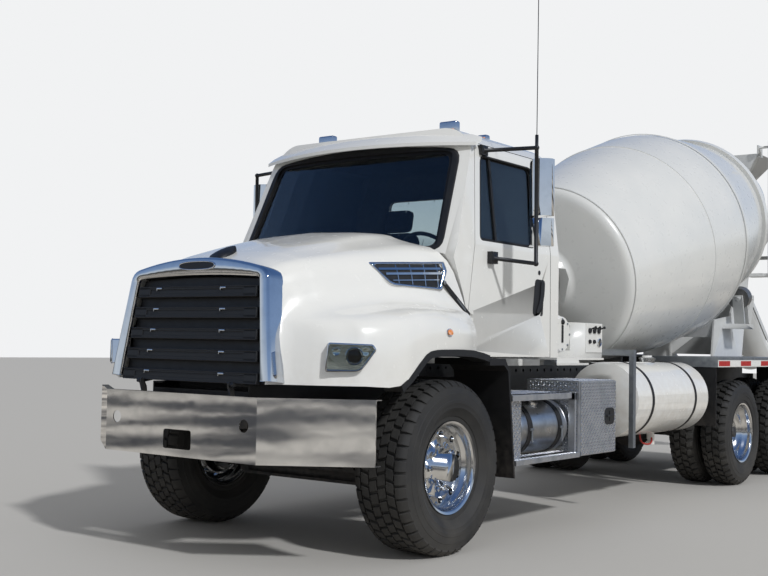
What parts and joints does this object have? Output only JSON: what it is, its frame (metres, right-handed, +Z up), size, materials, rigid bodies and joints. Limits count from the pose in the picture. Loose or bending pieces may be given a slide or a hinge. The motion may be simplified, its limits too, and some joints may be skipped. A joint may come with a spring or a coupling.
{
  "type": "concrete mixer truck",
  "caption": "Bonneted concrete mixer truck with a sloping drum between two pedestals, twin-wheel tandem rear axles, a tilting bonnet and folding discharge chutes.",
  "frame": {"origin": "on the ground under the middle of the truck", "axes": "+Y to the rear along the truck, +Z up, +X to the driver's side"},
  "size_m": [2.836, 10.5327, 3.97],
  "materials": {
    "white_paint": "gloss",
    "grey_paint": "gloss",
    "black_paint": "satin",
    "cast_iron": "matte",
    "bright_steel": "satin",
    "chrome": "polished",
    "aluminium": "satin",
    "tyre": "matte",
    "black_plastic": "satin",
    "rubber": "matte",
    "glass": "clear",
    "lens": "gloss",
    "seat_cloth": "woven",
    "interior": "matte"
  },
  "bodies": {
    "chassis": {"frame_rails": "black_paint", "front_bumper": "chrome", "engine_block": "cast_iron", "front_axle": "cast_iron", "rear_axles": "cast_iron", "cab_shell": "white_paint", "sun_visor": "white_paint", "lamps": "lens", "cab_glass": "glass", "cab_interior": "interior", "seats": "seat_cloth", "cab_steps": "aluminium", "fuel_tanks": "aluminium", "tank_straps": "rubber", "toolbox": "aluminium", "water_tank": "white_paint", "splash_guards": "rubber", "front_pedestal": "white_paint", "drum_gearbox": "cast_iron", "rear_pedestal": "grey_paint", "rear_decks": "grey_paint"},
    "bonnet": {"hood": "white_paint", "hood_frame": "black_paint", "wheel_flares": "black_plastic", "grille_surround": "chrome", "grille_bars": "black_plastic", "headlamps": "chrome", "side_vents": "chrome"},
    "left_door": {"door_left": "white_paint", "door_glass_left": "glass", "mirror_left": "chrome"},
    "right_door": {"door_right": "white_paint", "door_glass_right": "glass", "mirror_right": "chrome"},
    "toolbox_lid": {"toolbox_door": "aluminium"},
    "left_knuckle": {"knuckle_left": "cast_iron"},
    "right_knuckle": {"knuckle_right": "cast_iron"},
    "track_rod": {"tie_rod": "cast_iron"},
    "front_left_wheel": {"front_tyre_left": "tyre", "front_rim_left": "aluminium"},
    "front_right_wheel": {"front_tyre_right": "tyre", "front_rim_right": "aluminium"},
    "rear_1_left_wheels": {"rear_tyres_1_left": "tyre", "rear_rims_1_left": "aluminium"},
    "rear_1_right_wheels": {"rear_tyres_1_right": "tyre", "rear_rims_1_right": "aluminium"},
    "rear_2_left_wheels": {"rear_tyres_2_left": "tyre", "rear_rims_2_left": "aluminium"},
    "rear_2_right_wheels": {"rear_tyres_2_right": "tyre", "rear_rims_2_right": "aluminium"},
    "drum": {"drum_shell": "white_paint", "drum_fins": "bright_steel"},
    "left_roller": {"roller_left": "bright_steel"},
    "right_roller": {"roller_right": "bright_steel"},
    "hopper": {"charge_hopper": "grey_paint"},
    "turret": {"chute_turret": "grey_paint"},
    "chute": {"main_chute": "grey_paint"},
    "folding_chute": {"fold_chute": "grey_paint"},
    "lift_barrel": {"cylinder_barrel": "black_paint"},
    "lift_rod": {"cylinder_rod": "chrome"}
  },
  "joints": [
    {"name": "bonnet_tilt", "type": "hinge", "parent": "chassis", "child": "bonnet", "pos_m": [0, -5.21642, 1.085], "axis": [1, 0, 0], "range_deg": [0, 60]},
    {"name": "left_door_hinge", "type": "hinge", "parent": "chassis", "child": "left_door", "pos_m": [1.03, -3.58142, 1.27], "axis": [0, 0, -1], "range_deg": [0, 65]},
    {"name": "right_door_hinge", "type": "hinge", "parent": "chassis", "child": "right_door", "pos_m": [-1.03, -3.58142, 1.27], "axis": [0, 0, 1], "range_deg": [0, 65]},
    {"name": "toolbox_hinge", "type": "hinge", "parent": "chassis", "child": "toolbox_lid", "pos_m": [1.21, -2.25542, 0.528], "axis": [0, 0, -1], "range_deg": [0, 90]},
    {"name": "steer_left", "type": "hinge", "parent": "chassis", "child": "left_knuckle", "pos_m": [0.78, -3.98642, 0.562], "axis": [0, 0, 1], "range_deg": [-32, 32]},
    {"name": "steer_right", "type": "hinge", "parent": "chassis", "child": "right_knuckle", "pos_m": [-0.78, -3.98642, 0.562], "axis": [0, 0, 1], "range_deg": [-32, 32]},
    {"name": "track_rod_joint", "type": "hinge", "parent": "left_knuckle", "child": "track_rod", "pos_m": [0.78, -3.80642, 0.42], "axis": [0, 0, 1], "range_deg": [-32, 32]},
    {"name": "front_left_spin", "type": "hinge", "parent": "left_knuckle", "child": "front_left_wheel", "pos_m": [1, -3.98642, 0.562], "axis": [1, 0, 0], "continuous": true},
    {"name": "front_right_spin", "type": "hinge", "parent": "right_knuckle", "child": "front_right_wheel", "pos_m": [-1, -3.98642, 0.562], "axis": [1, 0, 0], "continuous": true},
    {"name": "rear_1_left_spin", "type": "hinge", "parent": "chassis", "child": "rear_1_left_wheels", "pos_m": [0.915, 1.29358, 0.525], "axis": [1, 0, 0], "continuous": true},
    {"name": "rear_1_right_spin", "type": "hinge", "parent": "chassis", "child": "rear_1_right_wheels", "pos_m": [-0.915, 1.29358, 0.525], "axis": [1, 0, 0], "continuous": true},
    {"name": "rear_2_left_spin", "type": "hinge", "parent": "chassis", "child": "rear_2_left_wheels", "pos_m": [0.915, 2.66358, 0.525], "axis": [1, 0, 0], "continuous": true},
    {"name": "rear_2_right_spin", "type": "hinge", "parent": "chassis", "child": "rear_2_right_wheels", "pos_m": [-0.915, 2.66358, 0.525], "axis": [1, 0, 0], "continuous": true},
    {"name": "drum_spin", "type": "hinge", "parent": "chassis", "child": "drum", "pos_m": [0, 0.01358, 2.155], "axis": [0, 0.9674, 0.2531], "continuous": true},
    {"name": "left_roller_spin", "type": "hinge", "parent": "chassis", "child": "left_roller", "pos_m": [0.5783, 2.95375, 1.96753], "axis": [0, 0.9674, 0.2531], "continuous": true},
    {"name": "right_roller_spin", "type": "hinge", "parent": "chassis", "child": "right_roller", "pos_m": [-0.5783, 2.95375, 1.96753], "axis": [0, 0.9674, 0.2531], "continuous": true},
    {"name": "hopper_tilt", "type": "hinge", "parent": "chassis", "child": "hopper", "pos_m": [0, 3.84358, 3.87], "axis": [1, 0, 0], "range_deg": [0, 60]},
    {"name": "chute_swing", "type": "hinge", "parent": "chassis", "child": "turret", "pos_m": [0, 4.07358, 1.64], "axis": [0, 0, 1], "range_deg": [-90, 90]},
    {"name": "chute_lift", "type": "hinge", "parent": "turret", "child": "chute", "pos_m": [0, 4.20358, 2.01], "axis": [1, 0, 0], "range_deg": [0, 30]},
    {"name": "chute_fold", "type": "hinge", "parent": "chute", "child": "folding_chute", "pos_m": [0, 5.11509, 1.31689], "axis": [-1, 0, 0], "range_deg": [0, 180]},
    {"name": "lift_barrel_joint", "type": "hinge", "parent": "turret", "child": "lift_barrel", "pos_m": [0, 4.21358, 1.62], "axis": [1, 0, 0], "range_deg": [0, 40]},
    {"name": "lift_rod_slide", "type": "slide", "parent": "lift_barrel", "child": "lift_rod", "axis": [0, 0.7514, -0.6598], "range_m": [0, 0.185]}
  ],
  "couplings": [
    {"joint": "steer_right", "follows": "steer_left", "ratio": 1},
    {"joint": "track_rod_joint", "follows": "steer_left", "ratio": -1},
    {"joint": "left_roller_spin", "follows": "drum_spin", "ratio": -7.728},
    {"joint": "right_roller_spin", "follows": "drum_spin", "ratio": -7.728},
    {"joint": "lift_barrel_joint", "follows": "chute_lift", "ratio": 1.298},
    {"joint": "lift_rod_slide", "follows": "chute_lift", "m_per_rad": 0.3433}
  ]
}
